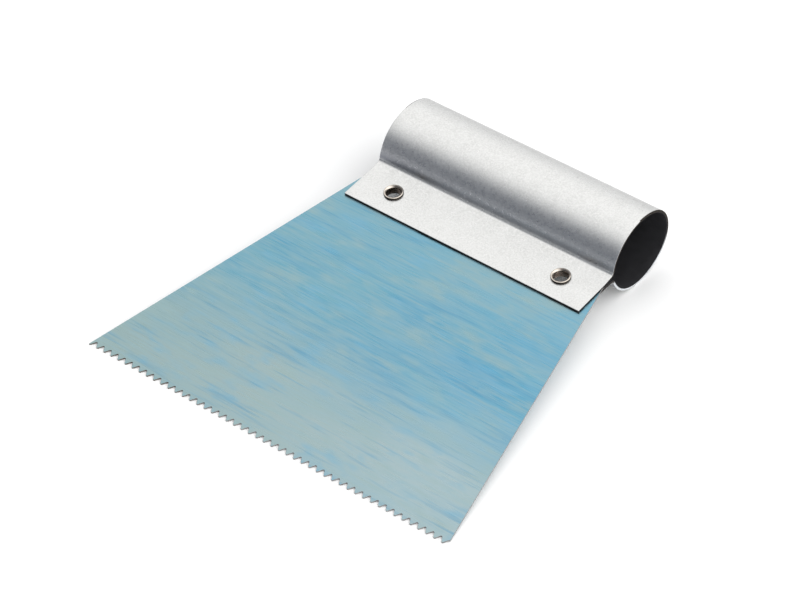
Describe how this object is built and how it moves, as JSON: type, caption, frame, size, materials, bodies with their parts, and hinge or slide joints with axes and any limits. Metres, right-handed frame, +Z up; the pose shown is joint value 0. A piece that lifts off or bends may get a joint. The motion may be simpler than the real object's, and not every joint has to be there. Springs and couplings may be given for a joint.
{
  "type": "notched trowel",
  "caption": "Toothed adhesive spreader: a thin flared spring-steel blade riveted with eyelets between the flanges of a folded, open-ended sheet-metal tube handle.",
  "frame": {"origin": "centre of the bounding box on the ground that the tool lies on, with the tooth tips and the belly of the tube touching z = 0", "axes": "+X along the handle's tube to the user's right, +Y from the teeth towards the grip, +Z up"},
  "size_m": [0.1513, 0.1546, 0.028],
  "materials": {
    "blade_steel": "blue-tinted spring steel, brushed along the toothed edge",
    "galvanised_sheet": "satin light grey galvanised sheet with a fine mottled grain",
    "nickel_eyelet": "warm nickel plate, flared rims"
  },
  "bodies": {
    "root": {"blade": "blade_steel", "handle": "galvanised_sheet", "eyelet_left": "nickel_eyelet", "eyelet_right": "nickel_eyelet"}
  },
  "joints": []
}
